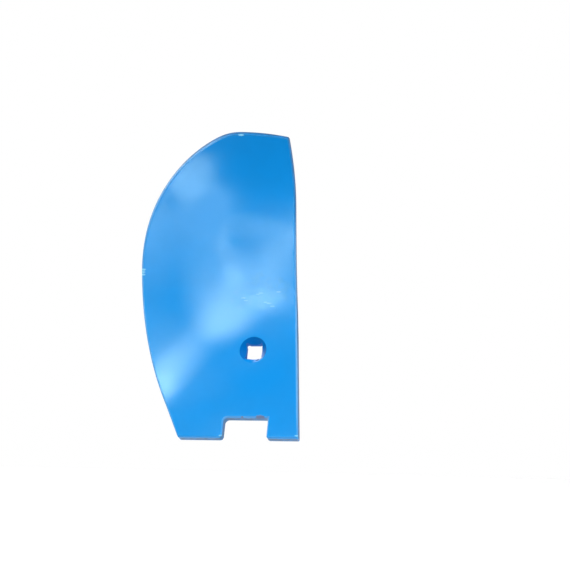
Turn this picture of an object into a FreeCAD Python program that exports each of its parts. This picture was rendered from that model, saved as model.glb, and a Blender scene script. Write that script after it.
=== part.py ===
import FreeCAD, Part
import math
import os
import Sketcher

# Plough skimmer board: one pressed steel plate, D-shaped, flat where it bolts on
# and curled towards the front along its wing and its top.
# Frame: +Z up, X towards the straight shin edge, the hollow working face towards -Y.
# The origin is the centre of the bolt hole on the flat back face of the seat.
# The outline is measured in the plane of the seat, from the bolt hole.

doc = FreeCAD.newDocument("SkimmerBoard")
Vector = FreeCAD.Vector

# Sizes
SIZES = [
    ("plate_thickness", "10", "mm, steel plate"),
    ("seat_lean", "25.5", "deg, how far the seat leans back from upright"),
    ("foot_drop", "88.8", "mm, bolt hole down to the bottom edge"),
    ("notch_left", "22.2", "mm, bolt hole to the notch side under the wing"),
    ("notch_right", "20.9", "mm, bolt hole to the notch side next to the shin"),
    ("notch_height", "20", "mm, bottom edge up to the top of the notch"),
    ("notch_fillet", "4", "mm, inner corner of the notch under the wing"),
    ("wing_foot_radius", "3.5", "mm, inner corner of the foot under the wing"),
    ("shin_foot_radius", "2.5", "mm, inner corner of the foot next to the shin"),
    ("shin_foot_reach", "51.5", "mm, bolt hole to the lower shin corner"),
    ("shin_angle", "5.2", "deg, straight part of the shin against upright"),
    ("shin_straight_top", "51.4", "mm, bolt hole up to the end of the straight shin"),
    ("shin_middle_radius", "1045", "mm, hollow bow in the middle of the shin"),
    ("shin_upper_radius", "382", "mm, outward bow of the upper shin"),
    ("shin_top", "199", "mm, bolt hole up to the end of the shin"),
    ("tip_radius", "2", "mm, upper shin corner"),
    ("crown_radius", "217", "mm, top edge"),
    ("shoulder_radius", "62.8", "mm, turn from the top edge into the wing"),
    ("shoulder_reach", "36.7", "mm, bolt hole to the wing end of the shoulder"),
    ("wing_top_radius", "147.3", "mm, wing edge below the shoulder"),
    ("wing_bow_top", "148", "mm, bolt hole up to where the wing turns tighter"),
    ("wing_upper_radius", "125.5", "mm, wing edge above its widest point"),
    ("wing_reach", "113.7", "mm, bolt hole to the widest point of the wing"),
    ("wing_height", "75.4", "mm, bolt hole up to the widest point of the wing"),
    ("wing_lower_radius", "285", "mm, wing edge below its widest point"),
    ("wing_straight_drop", "51.6", "mm, bolt hole down to the straight of the wing"),
    ("dish_reach", "111.9", "mm, bolt hole to the axis of the dish"),
    ("dish_drop", "156.6", "mm, bolt hole down to the axis of the dish"),
    ("dish_inner_radius", "50", "mm, where the flat begins, clear of the plate"),
    ("dish_flat_radius", "208", "mm, where the flat ends and the curl begins"),
    ("dish_curl_radius", "240", "mm, curl towards the front"),
    ("dish_curl_angle", "64", "deg, curl carried past the outline"),
    ("dish_sweep", "90", "deg, turn of the dish about its axis"),
    ("square_side", "15", "mm, square hole for the neck of the bolt"),
    ("relief_radius", "1.8", "mm, round relief in each corner of the square hole"),
    ("relief_inset", "1.15", "mm, side of the square to the centre of the relief"),
    ("sink_width", "26.2", "mm, countersink at the working face"),
    ("sink_angle", "90", "deg, full angle of the countersink"),
]
sheet = doc.addObject("Spreadsheet::Sheet", "Sizes")
for row, (alias, value, note) in enumerate(SIZES, start=1):
    sheet.set("A%d" % row, alias)
    sheet.set("B%d" % row, value)
    sheet.set("C%d" % row, note)
    sheet.setAlias("B%d" % row, alias)
doc.recompute()


def size(alias):
    return float(getattr(sheet, alias))


def plane_of(body, role):
    for feature in body.Origin.OriginFeatures:
        if feature.Role == role:
            return feature
    raise ValueError("no origin plane " + role)


def new_sketch(body, name, role):
    sketch = body.newObject("Sketcher::SketchObject", name)
    sketch.AttachmentSupport = [(plane_of(body, role), "")]
    sketch.MapMode = "FlatFace"
    return sketch


def add_line(sketch, start, end):
    return sketch.addGeometry(Part.LineSegment(start, end), False)


def add_arc(sketch, centre, start, end):
    """An arc that turns left from start to end."""
    first = math.atan2(start.y - centre.y, start.x - centre.x)
    last = math.atan2(end.y - centre.y, end.x - centre.x)
    if last < first:
        last += 2 * math.pi
    circle = Part.Circle(centre, Vector(0, 0, 1), centre.distanceToPoint(start))
    return sketch.addGeometry(Part.ArcOfCircle(circle, first, last), False)


def drive(sketch, name, expression, kind, *where):
    """A dimension that takes its value from the sheet."""
    index = sketch.addConstraint(Sketcher.Constraint(kind, *where))
    sketch.renameConstraint(index, name)
    sketch.setExpression("Constraints." + name, expression)


def relate(sketch, kind, *where):
    sketch.addConstraint(Sketcher.Constraint(kind, *where))


def checked(feature):
    doc.recompute()
    if "Invalid" in feature.State or "Error" in feature.State:
        raise RuntimeError(feature.Label + " is in error")
    if feature.Shape.isNull() or not feature.Shape.isValid():
        raise RuntimeError(feature.Label + " has no valid shape")
    return feature


ORIGIN = (-1, 1)
START, END, CENTRE = 1, 2, 3

# Outline, drawn as seen from the front, from the foot under the wing to the left
foot_y = -size("foot_drop")
notch_y = foot_y + size("notch_height")
wing_foot_r = size("wing_foot_radius")
shin_foot_r = size("shin_foot_radius")
fillet_r = size("notch_fillet")

wing_lower_centre = Vector(size("wing_lower_radius") - size("wing_reach"), size("wing_height"))
wing_rise = size("wing_height") + size("wing_straight_drop")
wing_run = math.sqrt(size("wing_lower_radius") ** 2 - wing_rise ** 2)
wing_straight_end = Vector(wing_lower_centre.x - wing_run, -size("wing_straight_drop"))
wing_foot = wing_straight_end + Vector(wing_rise / wing_run, -1) * (wing_straight_end.y - foot_y)
widest = Vector(-size("wing_reach"), size("wing_height"))

wing_upper_centre = Vector(widest.x + size("wing_upper_radius"), widest.y)
bow_rise = size("wing_bow_top") - widest.y
bow_run = math.sqrt(size("wing_upper_radius") ** 2 - bow_rise ** 2)
bow_top = Vector(wing_upper_centre.x - bow_run, size("wing_bow_top"))
to_bow_top = (bow_top - wing_upper_centre).normalize()
wing_top_centre = bow_top - to_bow_top * size("wing_top_radius")
shoulder_x = -size("shoulder_reach")
shoulder_run = wing_top_centre.x - shoulder_x
shoulder_rise = math.sqrt(size("wing_top_radius") ** 2 - shoulder_run ** 2)
shoulder = Vector(shoulder_x, wing_top_centre.y + shoulder_rise)
to_shoulder = (shoulder - wing_top_centre).normalize()
shoulder_centre = shoulder - to_shoulder * size("shoulder_radius")

shin_tilt = math.radians(size("shin_angle"))
shin_foot = Vector(size("shin_foot_reach"), foot_y)
straight_rise = size("shin_straight_top") - foot_y
shin_end = shin_foot + Vector(-math.tan(shin_tilt), 1) * straight_rise
middle_radius = size("shin_middle_radius")
middle_centre = shin_end + Vector(math.cos(shin_tilt), math.sin(shin_tilt)) * middle_radius
upright = middle_centre - Vector(middle_radius, 0)
upper_centre = upright - Vector(size("shin_upper_radius"), 0)
upper_rise = size("shin_top") - upright.y
upper_run = math.sqrt(size("shin_upper_radius") ** 2 - upper_rise ** 2)
shin_top = Vector(upper_centre.x + upper_run, size("shin_top"))
to_tip = (shin_top - upper_centre).normalize()
tip_centre = shin_top - to_tip * size("tip_radius")

# The crown touches the shoulder's circle and the tip's circle from outside
crown_to_shoulder = size("crown_radius") - size("shoulder_radius")
crown_to_tip = size("crown_radius") - size("tip_radius")
span = tip_centre - shoulder_centre
along = (span.Length ** 2 + crown_to_shoulder ** 2 - crown_to_tip ** 2) / (2 * span.Length)
aside = math.sqrt(crown_to_shoulder ** 2 - along ** 2)
span_way = Vector(span).normalize()
crown_centre = shoulder_centre + span_way * along + Vector(span_way.y, -span_way.x) * aside
crown_start = crown_centre + (tip_centre - crown_centre).normalize() * size("crown_radius")
crown_end = crown_centre + (shoulder_centre - crown_centre).normalize() * size("crown_radius")

blank = doc.addObject("PartDesign::Body", "Blank")
outline = new_sketch(blank, "Outline", "XZ_Plane")
notch_left = -size("notch_left")
notch_right = size("notch_right")
wing_sole = add_line(outline, wing_foot, Vector(notch_left - wing_foot_r, foot_y))
wing_corner = add_arc(
    outline,
    Vector(notch_left - wing_foot_r, foot_y + wing_foot_r),
    Vector(notch_left - wing_foot_r, foot_y),
    Vector(notch_left, foot_y + wing_foot_r),
)
notch_wing_side = add_line(
    outline,
    Vector(notch_left, foot_y + wing_foot_r),
    Vector(notch_left, notch_y - fillet_r),
)
notch_corner = add_arc(
    outline,
    Vector(notch_left + fillet_r, notch_y - fillet_r),
    Vector(notch_left + fillet_r, notch_y),
    Vector(notch_left, notch_y - fillet_r),
)
notch_roof = add_line(
    outline, Vector(notch_left + fillet_r, notch_y), Vector(notch_right, notch_y)
)
notch_shin_side = add_line(
    outline, Vector(notch_right, notch_y), Vector(notch_right, foot_y + shin_foot_r)
)
shin_corner = add_arc(
    outline,
    Vector(notch_right + shin_foot_r, foot_y + shin_foot_r),
    Vector(notch_right, foot_y + shin_foot_r),
    Vector(notch_right + shin_foot_r, foot_y),
)
shin_sole = add_line(outline, Vector(notch_right + shin_foot_r, foot_y), shin_foot)
shin_straight = add_line(outline, shin_foot, shin_end)
shin_middle = add_arc(outline, middle_centre, upright, shin_end)
shin_upper = add_arc(outline, upper_centre, upright, shin_top)
tip = add_arc(outline, tip_centre, shin_top, crown_start)
crown = add_arc(outline, crown_centre, crown_start, crown_end)
shoulder_turn = add_arc(outline, shoulder_centre, crown_end, shoulder)
wing_top = add_arc(outline, wing_top_centre, shoulder, bow_top)
wing_upper = add_arc(outline, wing_upper_centre, bow_top, widest)
wing_lower = add_arc(outline, wing_lower_centre, widest, wing_straight_end)
wing_straight = add_line(outline, wing_straight_end, wing_foot)

relate(outline, "Coincident", wing_straight, END, wing_sole, START)
relate(outline, "Tangent", wing_sole, END, wing_corner, START)
relate(outline, "Tangent", wing_corner, END, notch_wing_side, START)
relate(outline, "Tangent", notch_wing_side, END, notch_corner, END)
relate(outline, "Tangent", notch_corner, START, notch_roof, START)
relate(outline, "Coincident", notch_roof, END, notch_shin_side, START)
relate(outline, "Tangent", notch_shin_side, END, shin_corner, START)
relate(outline, "Tangent", shin_corner, END, shin_sole, START)
relate(outline, "Coincident", shin_sole, END, shin_straight, START)
relate(outline, "Tangent", shin_straight, END, shin_middle, END)
relate(outline, "Tangent", shin_middle, START, shin_upper, START)
relate(outline, "Tangent", shin_upper, END, tip, START)
relate(outline, "Tangent", tip, END, crown, START)
relate(outline, "Tangent", crown, END, shoulder_turn, START)
relate(outline, "Tangent", shoulder_turn, END, wing_top, START)
relate(outline, "Tangent", wing_top, END, wing_upper, START)
relate(outline, "Tangent", wing_upper, END, wing_lower, START)
relate(outline, "Tangent", wing_lower, END, wing_straight, START)
relate(outline, "Horizontal", wing_sole)
relate(outline, "Horizontal", notch_roof)
relate(outline, "Horizontal", shin_sole)
relate(outline, "Vertical", notch_wing_side)
relate(outline, "Vertical", notch_shin_side)
relate(outline, "Horizontal", shin_middle, CENTRE, shin_middle, START)
relate(outline, "Horizontal", wing_upper, CENTRE, wing_upper, END)

drive(outline, "foot_drop", "Sizes.foot_drop", "DistanceY", wing_sole, START, *ORIGIN, -foot_y)
drive(outline, "shin_drop", "Sizes.foot_drop", "DistanceY", shin_sole, END, *ORIGIN, -foot_y)
drive(outline, "notch_left", "Sizes.notch_left", "DistanceX",
      notch_wing_side, END, *ORIGIN, -notch_left)
drive(outline, "notch_right", "Sizes.notch_right", "DistanceX",
      *ORIGIN, notch_shin_side, END, notch_right)
drive(outline, "notch_height", "Sizes.notch_height", "DistanceY",
      wing_sole, START, notch_roof, END, notch_y - foot_y)
drive(outline, "shin_foot_reach", "Sizes.shin_foot_reach", "DistanceX",
      *ORIGIN, shin_sole, END, shin_foot.x)
drive(outline, "shin_angle", "(90 + Sizes.shin_angle) * 1 deg", "Angle",
      shin_straight, math.pi / 2 + shin_tilt)
drive(outline, "shin_straight_top", "Sizes.shin_straight_top", "DistanceY",
      *ORIGIN, shin_straight, END, shin_end.y)
drive(outline, "shin_top", "Sizes.shin_top", "DistanceY",
      *ORIGIN, shin_upper, END, shin_top.y)
drive(outline, "shoulder_reach", "Sizes.shoulder_reach", "DistanceX",
      wing_top, START, *ORIGIN, -shoulder_x)
drive(outline, "wing_bow_top", "Sizes.wing_bow_top", "DistanceY",
      *ORIGIN, wing_upper, START, bow_top.y)
drive(outline, "wing_straight_drop", "Sizes.wing_straight_drop", "DistanceY",
      wing_straight, START, *ORIGIN, -wing_straight_end.y)
drive(outline, "wing_reach", "Sizes.wing_reach", "DistanceX",
      wing_upper, END, *ORIGIN, -widest.x)
drive(outline, "wing_height", "Sizes.wing_height", "DistanceY",
      *ORIGIN, wing_upper, END, widest.y)
RADII = {
    "wing_foot_radius": wing_corner,
    "notch_fillet": notch_corner,
    "shin_foot_radius": shin_corner,
    "shin_middle_radius": shin_middle,
    "shin_upper_radius": shin_upper,
    "tip_radius": tip,
    "crown_radius": crown,
    "shoulder_radius": shoulder_turn,
    "wing_top_radius": wing_top,
    "wing_upper_radius": wing_upper,
    "wing_lower_radius": wing_lower,
}
for alias, geometry in RADII.items():
    drive(outline, alias, "Sizes." + alias, "Radius", geometry, size(alias))
checked(outline)

# The blank is the outline carried through the whole depth of the dish
blank_pad = blank.newObject("PartDesign::Pad", "BlankPad")
blank_pad.Profile = outline
blank_pad.SideType = "Symmetric"
blank_pad.setExpression("Length", "2 * Sizes.dish_curl_radius")
checked(blank)

# Working face: a flat disc and the arc that curls up from it, turned about the axis of the dish
flat_start = Vector(size("dish_reach") - size("dish_inner_radius"), -size("plate_thickness"))
flat_end = Vector(size("dish_reach") - size("dish_flat_radius"), flat_start.y)
curl_radius = size("dish_curl_radius")
curl_angle = math.radians(size("dish_curl_angle"))
curl_centre = flat_end - Vector(0, curl_radius)
curl_end = curl_centre + Vector(-math.sin(curl_angle), math.cos(curl_angle)) * curl_radius

section = doc.addObject("Sketcher::SketchObject", "DishSection")
section.setExpression(
    "Placement",
    "placement(vector(0; 0; -Sizes.dish_drop); rotation(vector(0; 0; 1); 0))",
)
flat = add_line(section, flat_start, flat_end)
curl = add_arc(section, curl_centre, flat_end, curl_end)
relate(section, "Horizontal", flat)
relate(section, "Tangent", flat, END, curl, START)
drive(section, "plate_thickness", "Sizes.plate_thickness", "DistanceY",
      flat, START, *ORIGIN, -flat_start.y)
drive(section, "dish_inner", "Sizes.dish_reach - Sizes.dish_inner_radius", "DistanceX",
      *ORIGIN, flat, START, flat_start.x)
drive(section, "dish_flat", "Sizes.dish_flat_radius - Sizes.dish_reach", "DistanceX",
      flat, END, *ORIGIN, -flat_end.x)
drive(section, "dish_curl_radius", "Sizes.dish_curl_radius", "Radius", curl, curl_radius)
drive(section, "dish_curl_depth",
      "Sizes.plate_thickness + Sizes.dish_curl_radius * (1 - cos(Sizes.dish_curl_angle))",
      "DistanceY", curl, END, *ORIGIN, -curl_end.y)
checked(section)

dish = doc.addObject("Part::Revolution", "Dish")
dish.Source = section
dish.Axis = Vector(0, 1, 0)
dish.Solid = False
dish.setExpression("Base.x", "Sizes.dish_reach")
dish.setExpression("Base.z", "-Sizes.dish_drop")
dish.setExpression("Angle", "Sizes.dish_sweep")
checked(dish)

working_face = doc.addObject("Part::Common", "WorkingFace")
working_face.Base = dish
working_face.Tool = blank
checked(working_face)

plate = doc.addObject("Part::Offset", "Plate")
plate.Source = working_face
plate.Fill = True
plate.setExpression("Value", "-Sizes.plate_thickness")
checked(plate)

# Bolt hole: a square with relieved corners for the neck of the bolt, a countersink for its head
bolt_hole = doc.addObject("PartDesign::Body", "BoltHole")
square = new_sketch(bolt_hole, "Square", "XZ_Plane")
half_side = size("square_side") / 2
relief_place = half_side - size("relief_inset")
relief_bite = math.sqrt(size("relief_radius") ** 2 - size("relief_inset") ** 2)
straight = relief_place - relief_bite
square_sides = []
reliefs = []
for turn in range(4):
    way = FreeCAD.Rotation(Vector(0, 0, 1), 90 * turn)
    square_sides.append(add_line(
        square,
        way.multVec(Vector(-straight, -half_side)),
        way.multVec(Vector(straight, -half_side)),
    ))
    reliefs.append(add_arc(
        square,
        way.multVec(Vector(relief_place, -relief_place)),
        way.multVec(Vector(straight, -half_side)),
        way.multVec(Vector(half_side, -straight)),
    ))
for turn in range(4):
    relate(square, "Coincident", square_sides[turn], END, reliefs[turn], START)
    relate(square, "Coincident", reliefs[turn], END, square_sides[(turn + 1) % 4], START)
    relate(square, "Horizontal" if turn % 2 == 0 else "Vertical", square_sides[turn])
for turn in range(1, 4):
    relate(square, "Equal", reliefs[0], reliefs[turn])
drive(square, "relief", "Sizes.relief_radius", "Radius", reliefs[0], size("relief_radius"))
drive(square, "below", "Sizes.square_side / 2", "DistanceY",
      square_sides[0], START, *ORIGIN, half_side)
drive(square, "above", "Sizes.square_side / 2", "DistanceY",
      *ORIGIN, square_sides[2], START, half_side)
drive(square, "shin_side", "Sizes.square_side / 2", "DistanceX",
      *ORIGIN, square_sides[1], START, half_side)
drive(square, "wing_side", "Sizes.square_side / 2", "DistanceX",
      square_sides[3], START, *ORIGIN, half_side)
RELIEF_PLACE = "Sizes.square_side / 2 - Sizes.relief_inset"
for turn, relief in enumerate(reliefs):
    across = (relief, CENTRE, *ORIGIN) if turn in (2, 3) else (*ORIGIN, relief, CENTRE)
    upward = (relief, CENTRE, *ORIGIN) if turn in (0, 3) else (*ORIGIN, relief, CENTRE)
    drive(square, "relief_across_%d" % turn, RELIEF_PLACE, "DistanceX", *across, relief_place)
    drive(square, "relief_up_%d" % turn, RELIEF_PLACE, "DistanceY", *upward, relief_place)
checked(square)
neck = bolt_hole.newObject("PartDesign::Pad", "Neck")
neck.Profile = square
neck.SideType = "Symmetric"
neck.setExpression("Length", "4 * Sizes.plate_thickness")
checked(bolt_hole)

# The cone is carried as far in front of the working face as the plate is thick
sink = new_sketch(bolt_hole, "SinkSection", "XY_Plane")
slope = math.tan(math.radians(size("sink_angle") / 2))
face_y = -size("plate_thickness")
cone_tip = Vector(0, face_y + size("sink_width") / 2 / slope)
rim = Vector(size("sink_width") / 2 - face_y * slope, 2 * face_y)
rim_middle = Vector(0, rim.y)
axis_side = add_line(sink, rim_middle, cone_tip)
cone_side = add_line(sink, cone_tip, rim)
rim_side = add_line(sink, rim, rim_middle)
relate(sink, "Coincident", axis_side, END, cone_side, START)
relate(sink, "Coincident", cone_side, END, rim_side, START)
relate(sink, "Coincident", rim_side, END, axis_side, START)
relate(sink, "PointOnObject", axis_side, START, -2)
relate(sink, "PointOnObject", axis_side, END, -2)
relate(sink, "Horizontal", rim_side)
drive(sink, "rim_place", "2 * Sizes.plate_thickness", "DistanceY",
      rim_side, START, *ORIGIN, -rim.y)
drive(sink, "rim_radius",
      "Sizes.sink_width / 2 + Sizes.plate_thickness * tan(Sizes.sink_angle / 2)",
      "DistanceX", axis_side, START, cone_side, END, rim.x)
drive(sink, "depth", "Sizes.sink_width / 2 / tan(Sizes.sink_angle / 2)"
      " + Sizes.plate_thickness", "DistanceY",
      axis_side, START, axis_side, END, cone_tip.y - rim.y)
checked(sink)
countersink = bolt_hole.newObject("PartDesign::Revolution", "Countersink")
countersink.Profile = sink
countersink.ReferenceAxis = (sink, ["V_Axis"])
countersink.Angle = 360
checked(bolt_hole)

board = doc.addObject("Part::Cut", "Board")
board.Base = plate
board.Tool = bolt_hole
board.Label = "skimmer_board"
board.setExpression(
    "Placement",
    "placement(vector(0; 0; 0); rotation(vector(1; 0; 0); -Sizes.seat_lean))",
)
checked(board)
if len(board.Shape.Solids) != 1:
    raise RuntimeError("the board is one solid")

os.makedirs("parts", exist_ok=True)
board.Shape.exportStep("parts/" + board.Label + ".step")
box = board.Shape.optimalBoundingBox()
print(board.Label, "volume", round(board.Shape.Volume), "mm3, box",
      [round(value, 1) for value in (box.XLength, box.YLength, box.ZLength)])
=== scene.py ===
import math

import bmesh
import bpy
from bpy.props import FloatProperty, FloatVectorProperty, PointerProperty
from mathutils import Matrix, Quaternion, Vector


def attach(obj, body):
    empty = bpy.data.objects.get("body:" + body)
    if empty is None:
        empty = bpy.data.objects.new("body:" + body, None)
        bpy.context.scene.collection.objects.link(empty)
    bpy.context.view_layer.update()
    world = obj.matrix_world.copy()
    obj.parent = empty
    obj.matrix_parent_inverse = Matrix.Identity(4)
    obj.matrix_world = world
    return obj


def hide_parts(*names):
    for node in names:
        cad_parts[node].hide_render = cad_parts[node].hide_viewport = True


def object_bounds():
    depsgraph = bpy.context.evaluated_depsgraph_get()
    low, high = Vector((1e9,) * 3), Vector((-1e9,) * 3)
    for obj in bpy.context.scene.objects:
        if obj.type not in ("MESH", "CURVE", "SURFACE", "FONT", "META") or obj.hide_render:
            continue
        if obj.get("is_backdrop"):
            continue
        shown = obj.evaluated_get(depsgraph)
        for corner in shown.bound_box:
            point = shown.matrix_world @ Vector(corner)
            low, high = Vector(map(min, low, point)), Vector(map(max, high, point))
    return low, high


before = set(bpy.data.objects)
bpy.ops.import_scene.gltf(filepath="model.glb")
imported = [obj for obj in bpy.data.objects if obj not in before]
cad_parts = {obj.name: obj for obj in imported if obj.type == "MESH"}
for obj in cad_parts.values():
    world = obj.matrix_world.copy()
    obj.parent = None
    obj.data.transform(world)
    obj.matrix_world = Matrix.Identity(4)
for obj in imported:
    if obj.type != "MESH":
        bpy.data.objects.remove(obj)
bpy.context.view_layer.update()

# Plough skimmer board: one pressed steel plate, painted blue, and the studio it is shown in.
# Frame: +Z up, X towards the straight shin edge, the hollow working face towards -Y.
# The origin is the centre of the bolt hole on the flat back face of the seat.
# The plate is modelled upright, seat in the XZ plane, and then leant back.

MM = 0.001

# Longest steps along the drawn lines and round their small corners, and how near two points are one
LINE_STEP = 2.5 * MM
CORNER_STEP = 0.4 * MM
SAME_POINT = 0.02 * MM

# Steps of the curl, of its turn about the axis of the dish and of the countersink
CURL_STEPS = 180
SWEEP_STEPS = 240
SINK_STEPS = 96

# Two faces that meet at more than this angle make a sharp edge
SHARP = math.radians(40)

bl_info = {
    "name": "Plough skimmer board",
    "version": (1, 0, 0),
    "blender": (4, 5, 0),
    "location": "View3D > Sidebar > Skimmer",
    "description": "Models a painted plough skimmer board and the studio around it",
    "category": "Object",
}


def length(name, millimetres, description):
    """A size given in millimetres and kept in metres."""
    return FloatProperty(
        name=name, description=description, default=millimetres * MM, unit="LENGTH",
        subtype="DISTANCE", precision=4,
    )


def turn(name, degrees, description):
    """An angle given in degrees and kept in radians."""
    return FloatProperty(
        name=name, description=description, default=math.radians(degrees), subtype="ANGLE"
    )


def factor(name, value, description):
    """A plain number, 0 or more."""
    return FloatProperty(name=name, description=description, default=value, min=0, precision=3)


def linear(hex_colour):
    """sRGB hex to the linear colour that a shader takes."""
    values = [int(hex_colour[i:i + 2], 16) / 255 for i in (1, 3, 5)]
    return [v / 12.92 if v <= 0.04045 else ((v + 0.055) / 1.055) ** 2.4 for v in values] + [1.0]


def colour(name, hex_colour, description):
    """A colour given as sRGB hex."""
    return FloatVectorProperty(
        name=name, description=description, default=linear(hex_colour), subtype="COLOR",
        size=4, min=0, max=1,
    )


class SkimmerOutline(bpy.types.PropertyGroup):
    """The D of the plate, seen from the front and measured from the bolt hole"""

    foot_drop: length("Foot drop", 88.8, "Bolt hole down to the bottom edge")
    notch_left: length("Notch left", 22.2, "Bolt hole to the notch side under the wing")
    notch_right: length("Notch right", 20.9, "Bolt hole to the notch side next to the shin")
    notch_height: length("Notch height", 20, "Bottom edge up to the top of the notch")
    notch_fillet: length("Notch fillet", 4, "Inner corner of the notch under the wing")
    wing_foot_radius: length("Wing foot radius", 3.5, "Inner corner of the foot under the wing")
    shin_foot_radius: length("Shin foot radius", 2.5, "Inner corner of the foot next to the shin")
    shin_foot_reach: length("Shin foot reach", 51.5, "Bolt hole to the lower shin corner")
    shin_angle: turn("Shin angle", 5.2, "Straight part of the shin against upright")
    shin_straight_top: length("Shin straight top", 51.4, "Bolt hole up to the end of the straight")
    shin_middle_radius: length("Shin middle radius", 1045, "Hollow bow in the middle of the shin")
    shin_upper_radius: length("Shin upper radius", 382, "Outward bow of the upper shin")
    shin_top: length("Shin top", 199, "Bolt hole up to the end of the shin")
    tip_radius: length("Tip radius", 2, "Upper shin corner")
    crown_radius: length("Crown radius", 217, "Top edge")
    shoulder_radius: length("Shoulder radius", 62.8, "Turn from the top edge into the wing")
    shoulder_reach: length("Shoulder reach", 36.7, "Bolt hole to the wing end of the shoulder")
    wing_top_radius: length("Wing top radius", 147.3, "Wing edge below the shoulder")
    wing_bow_top: length("Wing bow top", 148, "Bolt hole up to where the wing turns tighter")
    wing_upper_radius: length("Wing upper radius", 125.5, "Wing edge above its widest point")
    wing_reach: length("Wing reach", 113.7, "Bolt hole to the widest point of the wing")
    wing_height: length("Wing height", 75.4, "Bolt hole up to the widest point of the wing")
    wing_lower_radius: length("Wing lower radius", 285, "Wing edge below its widest point")
    wing_straight_drop: length("Wing straight drop", 51.6, "Bolt hole down to the wing's straight")


class SkimmerPlate(bpy.types.PropertyGroup):
    """The pressed form, the bolt hole and the finish of the edges"""

    plate_thickness: length("Plate thickness", 10, "Steel plate")
    seat_lean: turn("Seat lean", 25.5, "How far the seat leans back from upright")
    dish_reach: length("Dish reach", 111.9, "Bolt hole to the axis of the dish")
    dish_drop: length("Dish drop", 156.6, "Bolt hole down to the axis of the dish")
    dish_inner_radius: length("Dish inner radius", 50, "Where the flat begins, clear of the plate")
    dish_flat_radius: length("Dish flat radius", 208, "Where the flat ends and the curl begins")
    dish_curl_radius: length("Dish curl radius", 240, "Curl towards the front")
    dish_curl_angle: turn("Dish curl angle", 64, "Curl carried past the outline")
    dish_sweep: turn("Dish sweep", 90, "Turn of the dish about its axis")
    square_side: length("Square side", 15.5, "Square hole for the neck of the bolt")
    relief_radius: length("Relief radius", 1.8, "Round relief in each corner of the square")
    relief_inset: length("Relief inset", 1.15, "Side of the square to the centre of the relief")
    sink_width: length("Sink width", 26.2, "Countersink at the working face")
    sink_angle: turn("Sink angle", 90, "Full angle of the countersink")
    edge_radius: length("Edge radius", 1.5, "Rounding of the cut edges under the paint")
    edge_band: length("Edge band", 1.8, "Width of the band of faces along the edge")
    grid_step: length("Grid step", 3, "Side of the squares that follow the curl")


class SkimmerPaint(bpy.types.PropertyGroup):
    """Blue enamel over pressed steel, its texture and its marks"""

    enamel: colour("Enamel", "#0897EE", "The blue of the faces")
    glint: colour("Glint", "#D6FFFF", "Tint of what the enamel mirrors")
    # Thin paint on the cut edges, also used as painted shade on the rounding at the crown
    edge_paint_and_shade_tone: colour("Edge tone", "#154E78", "Thin paint on the cut edges")
    # Painted highlight: the pale tone along the rounded edges stands for light caught by the rounding
    edge_highlight_tone: colour("Rub tone", "#9CCDF0", "Paint rubbed pale along the rounded edges")
    scuff_tone: colour("Scuff tone", "#3A98C8", "Rubbed smudges on the working face")
    stroke_tone: colour("Stroke tone", "#96E2FF", "Light scratches and chips")
    # Painted shade in the hole: a deeper blue on the hole's walls and the upper countersink
    bore_shade_tone: colour("Bore tone", "#0074C8", "Thick dull paint in the hole")
    # A dark spot in the lower corner of the hole, darker and duller than the rest
    hole_spot_tone: colour("Clog tone", "#0A3A6E", "Old paint and dirt clogged in a corner of the hole")
    # Painted shade in the hole: a dark tint that dims what its paint mirrors
    bore_shade_glint: colour("Bore glint", "#304860", "Tint of what the paint in the hole mirrors")
    bare_tone: colour("Bare tone", "#74708A", "Primer and rust where the paint is gone")
    roughness: factor("Roughness", 0.181, "Blur of the enamel's gloss")
    scuff_cover: factor("Scuff cover", 0.18, "How much the smudges cover")
    stroke_cover: factor("Stroke cover", 0.35, "How much the light scratches cover")
    nick_cover: factor("Nick cover", 0.75, "How much the bright nicks cover")
    bare_cover: factor("Bare cover", 0.8, "How much the primer and rust cover")
    # How much the dark spots in the hole's corner cover
    hole_spot_cover: factor("Clog cover", 0.8, "How much the dirt in the hole covers")
    peel_size: length("Peel size", 2.2, "Grain of the sprayed paint")
    peel_depth: length("Peel depth", 0.004, "Relief of the sprayed paint")
    dent_size: length("Dent size", 5, "Grain of the dents where the face is scuffed")
    dent_depth: length("Dent depth", 0.09, "Depth of the dents where the face is scuffed")
    wave_size: length("Wave size", 22, "Soft waves of the pressed steel")
    wave_depth: length("Wave depth", 0.05, "Relief of the soft waves")
    chip_depth: length("Chip depth", 0.08, "Thickness of the paint at the chips")


class SkimmerStudio(bpy.types.PropertyGroup):
    """Camera, floor and light"""

    camera_place: FloatVectorProperty(
        name="Camera place", description="Where the camera stands", subtype="TRANSLATION",
        default=(0.30200, -1.17104, 0.06259), precision=5,
    )
    camera_turn: FloatVectorProperty(
        name="Camera turn", description="How the camera is turned", subtype="EULER",
        default=[math.radians(angle) for angle in (90.190, 0.836, 13.059)],
    )
    lens: FloatProperty(
        name="Lens", description="Focal length in millimetres", default=78.54, min=1
    )
    film_width: FloatProperty(
        name="Film width", description="Width of the film in millimetres", default=36, min=1
    )
    floor_drop: length("Floor drop", 450, "Floor below the bolt hole")
    floor_side: length("Floor side", 3000, "Side of the square floor")
    floor_shift: length("Floor shift", 700, "Middle of the floor behind the bolt hole")
    floor_tone: colour("Floor tone", "#F2F2F2", "Pale floor")
    floor_glow: factor("Floor glow", 0.4, "Brightness added where the floor is looked at")
    room_light: factor("Room light", 0.118, "Even light from all round")
    lamp_distance: length("Lamp distance", 3000, "From the board to each lamp")
    lamp_strength: factor("Lamp strength", 1, "All lamps together")


# Edit mode steps, as made by hand


def select_none():
    """Back to object mode with nothing selected."""
    if bpy.context.object and bpy.context.object.mode != "OBJECT":
        bpy.ops.object.mode_set(mode="OBJECT")
    bpy.ops.object.select_all(action="DESELECT")


def only(thing):
    """Leaves one object selected and active, in object mode."""
    select_none()
    thing.select_set(True)
    bpy.context.view_layer.objects.active = thing


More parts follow.
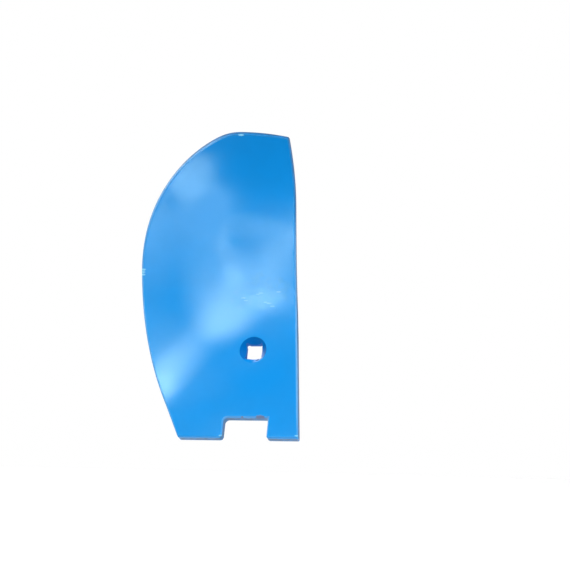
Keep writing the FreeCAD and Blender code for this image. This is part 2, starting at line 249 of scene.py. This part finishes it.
def pick(kind, test):
    """Selects the vertices, edges or faces of the edited mesh that pass the test."""
    bpy.ops.mesh.select_all(action="DESELECT")
    bpy.ops.mesh.select_mode(type=kind)
    mesh = bmesh.from_edit_mesh(bpy.context.object.data)
    parts = {"VERT": mesh.verts, "EDGE": mesh.edges, "FACE": mesh.faces}[kind]
    picked = 0
    for part in parts:
        if not part.hide and test(part):
            part.select_set(True)
            picked += 1
    mesh.select_flush_mode()
    bmesh.update_edit_mesh(bpy.context.object.data)
    if not picked:
        raise RuntimeError("nothing to pick on " + bpy.context.object.name)


def start_line(name, place):
    """A new object in edit mode that holds one vertex, the start of a drawn line."""
    select_none()
    bpy.ops.mesh.primitive_circle_add(vertices=3, radius=MM, enter_editmode=True)
    bpy.context.object.name = name
    bpy.ops.mesh.select_mode(type="VERT")
    bpy.ops.mesh.select_all(action="SELECT")
    bpy.ops.mesh.merge(type="CENTER")
    bpy.ops.transform.translate(value=place)
    return bpy.context.object


def pen():
    """Where the line has come to: the one vertex that is selected."""
    mesh = bmesh.from_edit_mesh(bpy.context.object.data)
    return [vertex for vertex in mesh.verts if vertex.select][0].co.copy()


def draw_line(end, step):
    """Extrudes the last vertex to the end in steps of about the given length."""
    way = Vector(end) - pen()
    steps = max(1, round(way.length / step))
    for _ in range(steps):
        bpy.ops.mesh.extrude_region_move(TRANSFORM_OT_translate={"value": way / steps})


def draw_arc(centre, end, step, left=True):
    """Spins the last vertex to the end in the XZ plane, turning left as seen from the front."""
    centre, end = Vector(centre), Vector(end)
    first, last = pen() - centre, end - centre
    angle = math.atan2(last.z, last.x) - math.atan2(first.z, first.x)
    angle %= 2 * math.pi
    if not left:
        angle -= 2 * math.pi
    steps = max(3, round(abs(angle) * first.length / step))
    bpy.ops.mesh.spin(steps=steps, angle=angle, center=centre, axis=(0, 1, 0))


def close_line():
    """Joins the line's end to its start and leaves it all selected."""
    bpy.ops.mesh.select_all(action="SELECT")
    bpy.ops.mesh.remove_doubles(threshold=SAME_POINT)
    bpy.ops.mesh.select_all(action="SELECT")


def finish_modifier(thing, kind, **settings):
    """Adds a modifier with its settings and applies it."""
    only(thing)
    modifier = thing.modifiers.new(kind.title(), kind)
    for setting, value in settings.items():
        setattr(modifier, setting, value)
    bpy.ops.object.modifier_apply(modifier=modifier.name)


def new_mask(name):
    """A number on each face of the edited mesh, 0 until it is set, for the paint to read."""
    bpy.ops.geometry.attribute_add(name=name, domain="FACE", data_type="FLOAT")


def set_mask(name, value):
    """Sets the named number on the selected faces."""
    attributes = bpy.context.object.data.attributes
    attributes.active = attributes[name]
    bpy.ops.mesh.attribute_set(value_float=value)


def outline_corners(o):
    """The ends and the arc centres of the outline, from its sizes."""
    p = {}
    foot = -o.foot_drop
    p["wing_lower_centre"] = Vector((o.wing_lower_radius - o.wing_reach, 0, o.wing_height))
    rise = o.wing_height + o.wing_straight_drop
    run = math.sqrt(o.wing_lower_radius ** 2 - rise ** 2)
    p["wing_straight"] = Vector((p["wing_lower_centre"].x - run, 0, -o.wing_straight_drop))
    p["wing_foot"] = p["wing_straight"] + Vector((rise / run, 0, -1)) * (
        o.foot_drop - o.wing_straight_drop
    )
    p["widest"] = Vector((-o.wing_reach, 0, o.wing_height))
    p["wing_upper_centre"] = p["widest"] + Vector((o.wing_upper_radius, 0, 0))
    rise = o.wing_bow_top - o.wing_height
    run = math.sqrt(o.wing_upper_radius ** 2 - rise ** 2)
    p["bow_top"] = p["wing_upper_centre"] + Vector((-run, 0, rise))
    way = (p["bow_top"] - p["wing_upper_centre"]).normalized()
    p["wing_top_centre"] = p["bow_top"] - way * o.wing_top_radius
    run = p["wing_top_centre"].x + o.shoulder_reach
    rise = math.sqrt(o.wing_top_radius ** 2 - run ** 2)
    p["shoulder"] = p["wing_top_centre"] + Vector((-run, 0, rise))
    way = (p["shoulder"] - p["wing_top_centre"]).normalized()
    p["shoulder_centre"] = p["shoulder"] - way * o.shoulder_radius
    p["shin_foot"] = Vector((o.shin_foot_reach, 0, foot))
    rise = o.foot_drop + o.shin_straight_top
    p["shin_end"] = p["shin_foot"] + Vector((-math.tan(o.shin_angle), 0, 1)) * rise
    way = Vector((math.cos(o.shin_angle), 0, math.sin(o.shin_angle)))
    p["shin_middle_centre"] = p["shin_end"] + way * o.shin_middle_radius
    p["upright"] = p["shin_middle_centre"] - Vector((o.shin_middle_radius, 0, 0))
    p["shin_upper_centre"] = p["upright"] - Vector((o.shin_upper_radius, 0, 0))
    rise = o.shin_top - p["upright"].z
    run = math.sqrt(o.shin_upper_radius ** 2 - rise ** 2)
    p["shin_top"] = p["shin_upper_centre"] + Vector((run, 0, rise))
    way = (p["shin_top"] - p["shin_upper_centre"]).normalized()
    p["tip_centre"] = p["shin_top"] - way * o.tip_radius
    to_shoulder = o.crown_radius - o.shoulder_radius
    to_tip = o.crown_radius - o.tip_radius
    span = p["tip_centre"] - p["shoulder_centre"]
    along = (span.length_squared + to_shoulder ** 2 - to_tip ** 2) / (2 * span.length)
    aside = math.sqrt(to_shoulder ** 2 - along ** 2)
    way = span.normalized()
    p["crown_centre"] = p["shoulder_centre"] + way * along + Vector((way.z, 0, -way.x)) * aside
    way = (p["tip_centre"] - p["crown_centre"]).normalized()
    p["crown_start"] = p["crown_centre"] + way * o.crown_radius
    way = (p["shoulder_centre"] - p["crown_centre"]).normalized()
    p["crown_end"] = p["crown_centre"] + way * o.crown_radius
    return p


def draw_outline(o, step):
    """Draws the D from the foot under the wing, round the notch, up the shin and back."""
    p = outline_corners(o)
    foot = -o.foot_drop
    roof = foot + o.notch_height
    left, right = -o.notch_left, o.notch_right
    blank = start_line("board", p["wing_foot"])
    draw_line((left - o.wing_foot_radius, 0, foot), step)
    draw_arc((left - o.wing_foot_radius, 0, foot + o.wing_foot_radius),
             (left, 0, foot + o.wing_foot_radius), CORNER_STEP)
    draw_line((left, 0, roof - o.notch_fillet), step)
    draw_arc((left + o.notch_fillet, 0, roof - o.notch_fillet),
             (left + o.notch_fillet, 0, roof), CORNER_STEP, left=False)
    draw_line((right, 0, roof), step)
    draw_line((right, 0, foot + o.shin_foot_radius), step)
    draw_arc((right + o.shin_foot_radius, 0, foot + o.shin_foot_radius),
             (right + o.shin_foot_radius, 0, foot), CORNER_STEP)
    draw_line(p["shin_foot"], step)
    draw_line(p["shin_end"], step)
    draw_arc(p["shin_middle_centre"], p["upright"], step, left=False)
    draw_arc(p["shin_upper_centre"], p["shin_top"], step)
    draw_arc(p["tip_centre"], p["crown_start"], CORNER_STEP)
    draw_arc(p["crown_centre"], p["crown_end"], step)
    draw_arc(p["shoulder_centre"], p["shoulder"], step)
    draw_arc(p["wing_top_centre"], p["bow_top"], step)
    draw_arc(p["wing_upper_centre"], p["widest"], step)
    draw_arc(p["wing_lower_centre"], p["wing_straight"], step)
    draw_line(p["wing_foot"], step)
    close_line()
    return blank


def press_die(s):
    """The dish that the plate is pressed to: a flat disc with an arc curling up from it."""
    flat_end = Vector((s.dish_reach - s.dish_flat_radius, -s.plate_thickness, 0))
    die = start_line("press_die", (s.dish_reach - s.dish_inner_radius, -s.plate_thickness, 0))
    bpy.ops.mesh.extrude_region_move(TRANSFORM_OT_translate={"value": flat_end - pen()})
    bpy.ops.mesh.spin(steps=CURL_STEPS, angle=s.dish_curl_angle, axis=(0, 0, -1),
                      center=flat_end - Vector((0, s.dish_curl_radius, 0)))
    bpy.ops.mesh.select_all(action="SELECT")
    bpy.ops.transform.translate(value=(0, 0, -s.dish_drop))
    bpy.ops.mesh.spin(steps=SWEEP_STEPS, angle=s.dish_sweep, axis=(0, -1, 0),
                      center=(s.dish_reach, 0, -s.dish_drop))
    only(die)
    return die


def square_tool(s):
    """The square with a round relief in each corner, carried through the plate."""
    half = s.square_side / 2
    place = half - s.relief_inset
    bite = math.sqrt(s.relief_radius ** 2 - s.relief_inset ** 2)
    flat = place - bite
    tool = start_line("square_tool", (-flat, -2 * s.plate_thickness, -half))
    y = -2 * s.plate_thickness
    sides = (
        ((flat, y, -half), (place, y, -place), (half, y, -flat)),
        ((half, y, flat), (place, y, place), (flat, y, half)),
        ((-flat, y, half), (-place, y, place), (-half, y, flat)),
        ((-half, y, -flat), (-place, y, -place), (-flat, y, -half)),
    )
    for side_end, relief_centre, relief_end in sides:
        draw_line(side_end, 2 * half)
        draw_arc(relief_centre, relief_end, CORNER_STEP)
    close_line()
    bpy.ops.mesh.edge_face_add()
    bpy.ops.mesh.extrude_region_move(
        TRANSFORM_OT_translate={"value": (0, 4 * s.plate_thickness, 0)}
    )
    bpy.ops.mesh.select_all(action="SELECT")
    bpy.ops.mesh.normals_make_consistent(inside=False)
    only(tool)
    return tool


def sink_tool(s):
    """The cone of the countersink, carried in front of the working face."""
    slope = math.tan(s.sink_angle / 2)
    tip = (0, s.sink_width / 2 / slope - s.plate_thickness, 0)
    rim = (s.sink_width / 2 + s.plate_thickness * slope, -2 * s.plate_thickness, 0)
    tool = start_line("sink_tool", tip)
    bpy.ops.mesh.extrude_region_move(TRANSFORM_OT_translate={"value": Vector(rim) - pen()})
    bpy.ops.mesh.extrude_region_move(TRANSFORM_OT_translate={"value": (-rim[0], 0, 0)})
    bpy.ops.mesh.select_all(action="SELECT")
    bpy.ops.mesh.spin(steps=SINK_STEPS, angle=2 * math.pi, axis=(0, 1, 0), center=(0, 0, 0))
    bpy.ops.mesh.select_all(action="SELECT")
    bpy.ops.mesh.remove_doubles(threshold=SAME_POINT)
    bpy.ops.mesh.normals_make_consistent(inside=False)
    only(tool)
    return tool


def remove(thing):
    """Deletes a helper object."""
    bpy.data.objects.remove(thing)


# Soft unevenness of the pressed plate, made before it is leant back: place across and up from
# the bolt hole, how far the plate is pushed there and how far round it the push spreads, all in
# millimetres. The way is along the line of sight, so that the outline stays.
PUSH_WAY = Vector((0.226, -0.878, -0.422))
PUSHES = {
    "wing_swell": (-100, 40, 3.0, 110),
    "wing_edge": (-105, 125, 1.5, 80),
    "belly_swell": (-10, 68, 3.0, 75),
    "shin_swell": (42, 112, 4.0, 80),
    "crown_hollow": (-15, 180, -4.0, 80),
}


class SKIMMER_OT_board(bpy.types.Operator):
    """Draw the blank, press it to the dish, give it its thickness, round its edges and drill it"""

    bl_idname = "skimmer.board"
    bl_label = "Model the board"
    bl_options = {"REGISTER", "UNDO"}

    def execute(self, context):
        o = context.scene.skimmer_outline
        s = context.scene.skimmer_plate

        board = draw_outline(o, LINE_STEP)
        bpy.ops.mesh.edge_face_add()
        bpy.ops.mesh.select_mode(type="FACE")
        bpy.ops.mesh.inset(thickness=s.edge_band, use_even_offset=True)
        bpy.ops.mesh.hide(unselected=True)
        low = -(o.foot_drop // s.grid_step) * s.grid_step
        for number in range(round((o.shin_top + o.foot_drop) * 1.1 / s.grid_step)):
            bpy.ops.mesh.select_all(action="SELECT")
            bpy.ops.mesh.bisect(plane_co=(0, 0, low + number * s.grid_step), plane_no=(0, 0, 1))
        low = -(o.wing_reach // s.grid_step) * s.grid_step
        for number in range(round((o.shin_foot_reach + o.wing_reach) / s.grid_step) + 1):
            bpy.ops.mesh.select_all(action="SELECT")
            bpy.ops.mesh.bisect(plane_co=(low + number * s.grid_step, 0, 0), plane_no=(1, 0, 0))
        pick("FACE", lambda face: face.calc_center_median().length < 0.62 * s.sink_width)
        bpy.ops.mesh.dissolve_faces()
        bpy.ops.mesh.reveal()

        die = press_die(s)
        finish_modifier(board, "SHRINKWRAP", target=die, wrap_method="PROJECT",
                        use_project_y=True, use_negative_direction=True,
                        use_positive_direction=True)
        remove(die)
        bpy.ops.object.mode_set(mode="EDIT")
        bpy.ops.mesh.select_all(action="SELECT")
        bpy.ops.mesh.normals_make_consistent(inside=False)
        bm = bmesh.from_edit_mesh(board.data)
        if sum(face.normal.y * face.calc_area() for face in bm.faces) > 0:
            bpy.ops.mesh.flip_normals()
        for x, z, rise, reach in PUSHES.values():
            way = Vector((x * MM, 0, z * MM))
            near = min(bm.verts, key=lambda v: (v.co.x - way.x) ** 2 + (v.co.z - way.z) ** 2)
            pick("VERT", lambda vertex: vertex == near)
            bpy.ops.transform.translate(
                value=PUSH_WAY * rise * MM, use_proportional_edit=True,
                proportional_edit_falloff="SMOOTH", proportional_size=reach * MM,
            )
        finish_modifier(board, "SOLIDIFY", thickness=s.plate_thickness, offset=-1,
                        use_even_offset=True)

        bpy.ops.object.mode_set(mode="EDIT")
        new_mask("cut_edge")
        new_mask("rounding_highlight")
        pick("FACE", lambda face: sum(edge.calc_face_angle(0) > SHARP for edge in face.edges) > 1)
        set_mask("cut_edge", 1)
        bpy.ops.mesh.select_mode(type="EDGE")
        bpy.ops.mesh.select_all(action="DESELECT")
        bpy.ops.mesh.edges_select_sharp(sharpness=SHARP)
        bpy.ops.mesh.bevel(offset=s.edge_radius, segments=4, profile=0.5, affect="EDGES")
        set_mask("cut_edge", 0)
        # The rounded faces are marked for a painted highlight
        set_mask("rounding_highlight", 1)

        for tool in (sink_tool(s), square_tool(s)):
            finish_modifier(board, "BOOLEAN", object=tool, operation="DIFFERENCE", solver="EXACT")
            remove(tool)

        bpy.ops.object.mode_set(mode="EDIT")
        # The bore mask marks where shade is painted in the hole: half on the countersink's upper part,
        # fully on the square's walls
        new_mask("bore")
        pick("FACE", lambda face: face.calc_center_median().xz.length < 0.5 * s.sink_width
             and face.calc_center_median().z > -0.33 * s.sink_width
             and abs(face.normal.y) < 0.9)
        set_mask("bore", 0.5)
        pick("FACE", lambda face: face.calc_center_median().xz.length < 0.8 * s.square_side
             and abs(face.normal.y) < 0.2)
        set_mask("bore", 1)

        only(board)
        board.rotation_euler.x = -s.seat_lean
        bpy.ops.object.transform_apply(location=True, rotation=True, scale=True)
        bpy.ops.object.shade_smooth_by_angle(angle=SHARP)
        finish_modifier(board, "WEIGHTED_NORMAL", mode="FACE_AREA", keep_sharp=True, weight=50)
        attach(board, "root")
        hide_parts("skimmer_board")
        return {"FINISHED"}


def add_node(tree, kind, settings=None, links=None):
    """One shader node with its settings, and the sockets that feed it."""
    node = tree.nodes.new(kind)
    for key, value in (settings or {}).items():
        if key in node.inputs:
            node.inputs[key].default_value = value
        else:
            setattr(node, key, value)
    for key, socket in (links or {}).items():
        tree.links.new(socket, node.inputs[key])
    return node


def noise(tree, place, size, detail=2.0):
    """Noise with a grain of the given size, from 0 to 1."""
    node = add_node(tree, "ShaderNodeTexNoise", {"Scale": 1 / size, "Detail": detail},
                    {"Vector": place})
    return node.outputs["Fac"]


def blend(tree, amount, first, second):
    """Mixes two colours, each a socket or a value, by the amount."""
    node = add_node(tree, "ShaderNodeMix", {"data_type": "RGBA"})
    tree.links.new(amount, node.inputs[0])
    for socket, tone in ((node.inputs[6], first), (node.inputs[7], second)):
        if isinstance(tone, bpy.types.NodeSocket):
            tree.links.new(tone, socket)
        else:
            socket.default_value = tone
    return node.outputs[2]


def ramp(tree, value, low, high, to_low=0.0, to_high=1.0):
    """Carries a value from one range to another, softly and clamped."""
    node = add_node(
        tree, "ShaderNodeMapRange",
        {"interpolation_type": "SMOOTHSTEP", "From Min": low, "From Max": high,
         "To Min": to_low, "To Max": to_high},
        {"Value": value},
    )
    return node.outputs["Result"]


def combine(tree, operation, first, second):
    """Math on two sockets or numbers."""
    node = add_node(tree, "ShaderNodeMath", {"operation": operation})
    for socket, value in zip(node.inputs, (first, second)):
        if isinstance(value, bpy.types.NodeSocket):
            tree.links.new(value, socket)
        else:
            socket.default_value = value
    return node.outputs[0]


# Marks on the used paint of the leant board, each a place and a radius in millimetres: scuffed
# clouds, faint scratches, bright nicks, dark spots in a corner of the hole, spots where the
# paint is gone and a spot by the wing edge that is polished
SCUFFS = (
    ((-6.0, 13.5, 70.0), 9.0),
    ((4.5, 9.5, 50.5), 9.0),
    ((4.0, 14.0, 67.0), 16.0),
    ((17.0, 14.0, 62.0), 18.0),
    ((-14.0, 8.5, 54.0), 14.0),
)
STROKES = (
    ((-13.5, 8.5, 54.5), 1.0),
    ((-11.0, 8.0, 52.0), 0.8),
    ((3.5, 12.0, 59.0), 1.0),
    ((0.5, 11.5, 58.0), 0.8),
    ((12.0, 9.5, 49.0), 1.0),
    ((15.5, 9.0, 46.0), 1.0),
    ((8.5, 9.5, 50.0), 0.8),
    ((21.0, 13.0, 60.0), 0.9),
)
NICKS = (
    ((-112.5, -5.0, 84.0), 1.6),
    ((-112.5, -5.5, 81.5), 1.4),
    ((-112.5, -5.5, 79.0), 1.4),
    ((-23.5, -46.0, -74.0), 0.9),
    ((50.0, -46.0, -73.5), 0.9),
    ((-15.5, 15.0, 215.5), 1.6),
)
# Dark spots in the lower corner of the hole
HOLE_CORNER_SPOTS = (
    ((4.5, -11.0, -5.5), 2.0),
    ((6.0, -10.0, -4.0), 1.5),
)
BARE_SPOTS = (
    ((11.0, -38.0, -57.5), 2.0),
    ((13.5, -38.0, -57.5), 2.4),
    ((16.0, -38.0, -57.5), 1.7),
    ((-4.0, -38.0, -57.5), 1.2),
    ((50.5, -42.5, -78.0), 1.8),
)
POLISHED = (
    ((-85.0, -26.5, -28.5), 16.0),
)


def marks_mask(tree, place, marks, stretch=(1, 1, 1)):
    """1 within each of the marks, 0 outside them, with a ragged rim. A stretch above 1 in a
    direction makes the marks shorter there."""
    rag = add_node(tree, "ShaderNodeTexNoise", {"Scale": 1.1, "Detail": 3.0}, {"Vector": place})
    shift = add_node(tree, "ShaderNodeVectorMath", {"operation": "MULTIPLY_ADD"},
                     {0: rag.outputs["Color"], 2: place})
    shift.inputs[1].default_value = (1.4, 1.4, 1.4)
    squeeze = add_node(tree, "ShaderNodeVectorMath", {"operation": "MULTIPLY"},
                       {0: shift.outputs[0]})
    squeeze.inputs[1].default_value = stretch
    mask = 0.0
    for centre, radius in marks:
        away = add_node(tree, "ShaderNodeVectorMath", {"operation": "DISTANCE"},
                        {0: squeeze.outputs[0]})
        away.inputs[1].default_value = [
            (value + 0.7) * scale for value, scale in zip(centre, stretch)
        ]
        spot = ramp(tree, away.outputs["Value"], 0.6 * radius, 1.15 * radius, 1.0, 0.0)
        mask = combine(tree, "MAXIMUM", mask, spot)
    return mask


class SKIMMER_OT_paint(bpy.types.Operator):
    """Paint the board: glossy blue enamel, thinner on the cut edges, scuffed and chipped"""

    bl_idname = "skimmer.paint"
    bl_label = "Paint the board"
    bl_options = {"REGISTER", "UNDO"}

    def execute(self, context):
        p = context.scene.skimmer_paint
        # Blue enamel on steel: a saturated blue with a blurred cool gloss that breaks up softly
        # over the waves of the pressing, greyer and duller on the cut edges, with a painted
        # highlight along their rounding and painted shade at the crown, and painted shade in the
        # bolt hole: a deeper blue that mirrors darkly
        material = bpy.data.materials.new("blue_enamel_on_steel")
        material.use_nodes = True
        tree = material.node_tree
        shader = tree.nodes["Principled BSDF"]
        shader.inputs["IOR"].default_value = 1.5

        places = add_node(tree, "ShaderNodeTexCoord").outputs["Object"]
        place = add_node(tree, "ShaderNodeVectorMath", {"operation": "SCALE", "Scale": 1 / MM},
                         {0: places}).outputs[0]
        axes = add_node(tree, "ShaderNodeSeparateXYZ", links={0: place}).outputs
        cloud = noise(tree, place, 30.0)
        grain = noise(tree, place, p.peel_size / MM)
        wave = noise(tree, place, p.wave_size / MM, 1.0)
        patch = ramp(tree, noise(tree, place, 6.0), 0.3, 0.7)
        edge = add_node(tree, "ShaderNodeAttribute", {"attribute_name": "cut_edge"}).outputs["Fac"]
        rounding_highlight = add_node(tree, "ShaderNodeAttribute", {"attribute_name": "rounding_highlight"}).outputs["Fac"]
        bore = add_node(tree, "ShaderNodeAttribute", {"attribute_name": "bore"}).outputs["Fac"]
        scuffs = marks_mask(tree, place, SCUFFS, (1, 2.2, 1))
        scuffs = combine(tree, "MULTIPLY", scuffs, patch)
        strokes = marks_mask(tree, place, STROKES, (0.35, 0.3, 1.4))
        nicks = marks_mask(tree, place, NICKS, (0.5, 0.3, 1.3))
        bare = marks_mask(tree, place, BARE_SPOTS)
        hole_corner_spots = marks_mask(tree, place, HOLE_CORNER_SPOTS)
        polished = marks_mask(tree, place, POLISHED)

        # Round the upper shin corner the rounding is dull, with painted shade in the edge tone;
        # elsewhere it has a painted highlight in the pale tone
        crown = combine(tree, "ADD", axes["Z"], combine(tree, "MULTIPLY", axes["X"], 1.2))
        crown = ramp(tree, crown, 150.0, 185.0)
        dull = combine(tree, "MULTIPLY", combine(tree, "MULTIPLY", rounding_highlight, crown), 0.45)
        edge = combine(tree, "MAXIMUM", edge, dull)
        rounding_highlight = combine(tree, "MULTIPLY", rounding_highlight, combine(tree, "SUBTRACT", 1.0, crown))

        deeper = [0.9 * value for value in p.enamel[:3]] + [1.0]
        tone = blend(tree, ramp(tree, cloud, 0.3, 0.7, 0.0, 0.4), p.enamel, deeper)
        thin_paint_and_shade = combine(tree, "MULTIPLY", edge, ramp(tree, patch, 0.0, 1.0, 0.6, 0.85))
        # Thin paint on the cut edges, and painted shade on the crown's rounding
        tone = blend(tree, thin_paint_and_shade, tone, p.edge_paint_and_shade_tone)
        # Painted highlight along the rounded edges, stronger higher up the board
        pale = combine(tree, "MULTIPLY", rounding_highlight, ramp(tree, axes["Z"], -75.0, -50.0, 0.1, 0.3))
        tone = blend(tree, pale, tone, p.edge_highlight_tone)
        tone = blend(tree, combine(tree, "MULTIPLY", scuffs, p.scuff_cover), tone, p.scuff_tone)
        light = combine(tree, "MAXIMUM", combine(tree, "MULTIPLY", strokes, p.stroke_cover),
                        combine(tree, "MULTIPLY", nicks, p.nick_cover))
        tone = blend(tree, light, tone, p.stroke_tone)
        tone = blend(tree, combine(tree, "MULTIPLY", bare, p.bare_cover), tone, p.bare_tone)
        # Painted shade in the hole: its faces turn to a deeper blue
        tone = blend(tree, ramp(tree, bore, 0.0, 0.5), tone, p.bore_shade_tone)
        # A darker tone on the spots in the hole's corner
        tone = blend(tree, combine(tree, "MULTIPLY", hole_corner_spots, p.hole_spot_cover), tone, p.hole_spot_tone)
        tree.links.new(tone, shader.inputs["Base Color"])
        # Painted shade in the hole: the hole and the dark spots in its corner mirror only a dim tint
        tint = combine(tree, "MAXIMUM", ramp(tree, bore, 0.0, 0.5), hole_corner_spots)
        tint = blend(tree, tint, p.glint, p.bore_shade_glint)
        tree.links.new(tint, shader.inputs["Specular Tint"])

        worn = combine(tree, "MAXIMUM", bare, combine(tree, "MULTIPLY", scuffs, 0.12))
        rough = combine(tree, "ADD", ramp(tree, cloud, 0.3, 0.7, p.roughness - 0.015,
                                          p.roughness + 0.015),
                        combine(tree, "MULTIPLY", worn, 0.25))
        rough = combine(tree, "ADD", rough, combine(tree, "MULTIPLY", edge, 0.4))
        deep = combine(tree, "MAXIMUM", combine(tree, "POWER", bore, 2.0), hole_corner_spots)
        rough = combine(tree, "ADD", rough, combine(tree, "MULTIPLY", deep, 0.4))
        # The foot and the polished spot mirror more sharply than the rest of the face
        foot = combine(tree, "SUBTRACT", axes["Z"], combine(tree, "MULTIPLY", axes["X"], 0.65))
        rough = combine(tree, "MULTIPLY", rough, ramp(tree, foot, -35.0, 0.0, 0.74, 1.0))
        rough = combine(tree, "MULTIPLY", rough, ramp(tree, polished, 0.0, 1.0, 1.0, 0.78))
        tree.links.new(rough, shader.inputs["Roughness"])

        soft = add_node(tree, "ShaderNodeBump", {"Distance": p.wave_depth}, {"Height": wave})
        peel = add_node(tree, "ShaderNodeBump", {"Distance": p.peel_depth},
                        {"Height": grain, "Normal": soft.outputs[0]})
        flat = add_node(tree, "ShaderNodeVectorMath", {"operation": "MULTIPLY"}, {0: place})
        flat.inputs[1].default_value = (0.6, 1, 1.2)
        dents = noise(tree, flat.outputs[0], p.dent_size / MM, 0.5)
        dents = combine(tree, "MULTIPLY", dents, scuffs)
        dented = add_node(tree, "ShaderNodeBump", {"Distance": p.dent_depth},
                          {"Height": dents, "Normal": peel.outputs[0]})
        chip = add_node(tree, "ShaderNodeBump", {"Distance": p.chip_depth, "invert": True},
                        {"Height": bare, "Normal": dented.outputs[0]})
        tree.links.new(chip.outputs[0], shader.inputs["Normal"])

        board = bpy.data.objects["board"]
        board.data.materials.clear()
        board.data.materials.append(material)
        return {"FINISHED"}


# Lamps: turn from straight ahead towards the shin, height above level, width, height and roll
# as seen from the board, all in degrees, and brightness
LAMPS = {
    "window": (-12, 33, 17, 4.5, -24, 11.5),
    "window_strip": (-4, 26, 2, 28, 49, 17),
    "front_panel": (16, 7, 25, 6, -49, 4.5),
    "low_panel": (29, -11, 6, 22, 10, 9),
    "slit": (-8, 41, 1, 14, 12, 12.5),
    "shin_high": (68, 50, 36, 36, 0, 5),
    "wing_side": (-77, 50, 60, 60, 0, 1.7),
    "back_fill": (235, 15, 60, 60, 0, 1.5),
}


def half_tangent(degrees):
    """Half the width, at a distance of 1, of what spans the angle."""
    return math.tan(math.radians(degrees) / 2)


def add_lamp(name, layout, centre, distance, strength):
    """A soft rectangular lamp that faces the board from the given direction."""
    aside, height, width, tall, roll, brightness = layout
    aside, height = math.radians(aside), math.radians(height)
    way = Vector((math.sin(aside) * math.cos(height), -math.cos(aside) * math.cos(height),
                  math.sin(height)))
    bpy.ops.object.light_add(type="AREA", location=centre + way * distance)
    lamp = bpy.context.object
    lamp.name = name
    facing = way.to_track_quat("Z", "Y") @ Quaternion((0, 0, 1), math.radians(roll))
    lamp.rotation_euler = facing.to_euler()
    lamp.data.shape = "RECTANGLE"
    lamp.data.size = 2 * distance * half_tangent(width)
    lamp.data.size_y = 2 * distance * half_tangent(tall)
    lamp.data.energy = strength * brightness * math.pi * lamp.data.size * lamp.data.size_y


class SKIMMER_OT_stage(bpy.types.Operator):
    """White surroundings, a pale floor, soft lamps and the camera"""

    bl_idname = "skimmer.stage"
    bl_label = "Set the stage"
    bl_options = {"REGISTER", "UNDO"}

    def execute(self, context):
        scene = context.scene
        s = scene.skimmer_studio
        scene.view_settings.view_transform = "Standard"

        world = bpy.data.worlds.new("studio")
        world.use_nodes = True
        tree = world.node_tree
        rays = add_node(tree, "ShaderNodeLightPath").outputs
        mirrored = combine(tree, "MAXIMUM", rays["Is Glossy Ray"], rays["Is Transmission Ray"])
        ways = add_node(tree, "ShaderNodeTexCoord").outputs["Generated"]
        ways = add_node(tree, "ShaderNodeSeparateXYZ", links={0: ways}).outputs
        behind = combine(tree, "MULTIPLY", ramp(tree, ways["Y"], 0.0, 0.3),
                         ramp(tree, ways["Z"], 0.3, 0.6, 1.0, 0.0))
        below = ramp(tree, ways["Z"], -0.9, -0.6, 1.0, 0.0)
        mirrored = combine(tree, "MULTIPLY", mirrored, combine(tree, "MAXIMUM", behind, below))
        seen = combine(tree, "MAXIMUM", rays["Is Camera Ray"], mirrored)
        light = ramp(tree, seen, 0.0, 1.0, s.room_light, 1.0)
        tree.links.new(light, tree.nodes["Background"].inputs["Strength"])
        tree.nodes["Background"].inputs["Color"].default_value = (1, 1, 1, 1)
        scene.world = world

        bpy.ops.mesh.primitive_plane_add(size=s.floor_side, location=(0, s.floor_shift, -s.floor_drop))
        floor = context.object
        floor.name = "floor"
        # Matt pale floor: one plain even tone that the eye passes over, with the shadow on it
        material = bpy.data.materials.new("matt_pale_floor")
        material.use_nodes = True
        tree = material.node_tree
        shader = tree.nodes["Principled BSDF"]
        shader.inputs["Base Color"].default_value = s.floor_tone
        shader.inputs["Roughness"].default_value = 0.9
        shader.inputs["Emission Color"].default_value = (1, 1, 1, 1)
        rays = add_node(tree, "ShaderNodeLightPath").outputs
        mirrored = combine(tree, "MAXIMUM", rays["Is Glossy Ray"], rays["Is Transmission Ray"])
        seen = combine(tree, "MAXIMUM", rays["Is Camera Ray"], mirrored)
        glow = combine(tree, "MULTIPLY", seen, s.floor_glow)
        tree.links.new(glow, shader.inputs["Emission Strength"])
        floor.data.materials.append(material)
        floor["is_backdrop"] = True

        box = [Vector(corner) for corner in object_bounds()]
        centre = (box[0] + box[1]) / 2
        for name, layout in LAMPS.items():
            add_lamp(name, layout, centre, s.lamp_distance, s.lamp_strength)

        bpy.ops.object.camera_add(location=s.camera_place, rotation=s.camera_turn)
        camera = context.object
        camera.data.lens = s.lens
        camera.data.sensor_width = s.film_width
        scene.camera = camera
        return {"FINISHED"}


class SKIMMER_PT_panel(bpy.types.Panel):
    """The steps of the board, in the sidebar"""

    bl_label = "Skimmer board"
    bl_idname = "SKIMMER_PT_panel"
    bl_space_type = "VIEW_3D"
    bl_region_type = "UI"
    bl_category = "Skimmer"

    def draw(self, context):
        for operator in (SKIMMER_OT_board, SKIMMER_OT_paint, SKIMMER_OT_stage):
            self.layout.operator(operator.bl_idname)


CLASSES = (
    SkimmerOutline,
    SkimmerPlate,
    SkimmerPaint,
    SkimmerStudio,
    SKIMMER_OT_board,
    SKIMMER_OT_paint,
    SKIMMER_OT_stage,
    SKIMMER_PT_panel,
)


def register():
    for cls in CLASSES:
        bpy.utils.register_class(cls)
    bpy.types.Scene.skimmer_outline = PointerProperty(type=SkimmerOutline)
    bpy.types.Scene.skimmer_plate = PointerProperty(type=SkimmerPlate)
    bpy.types.Scene.skimmer_paint = PointerProperty(type=SkimmerPaint)
    bpy.types.Scene.skimmer_studio = PointerProperty(type=SkimmerStudio)


def unregister():
    del bpy.types.Scene.skimmer_studio
    del bpy.types.Scene.skimmer_paint
    del bpy.types.Scene.skimmer_plate
    del bpy.types.Scene.skimmer_outline
    for cls in reversed(CLASSES):
        bpy.utils.unregister_class(cls)


def main():
    register()
    bpy.ops.skimmer.board()
    bpy.ops.skimmer.paint()
    bpy.ops.skimmer.stage()


if __name__ == "__main__":
    main()
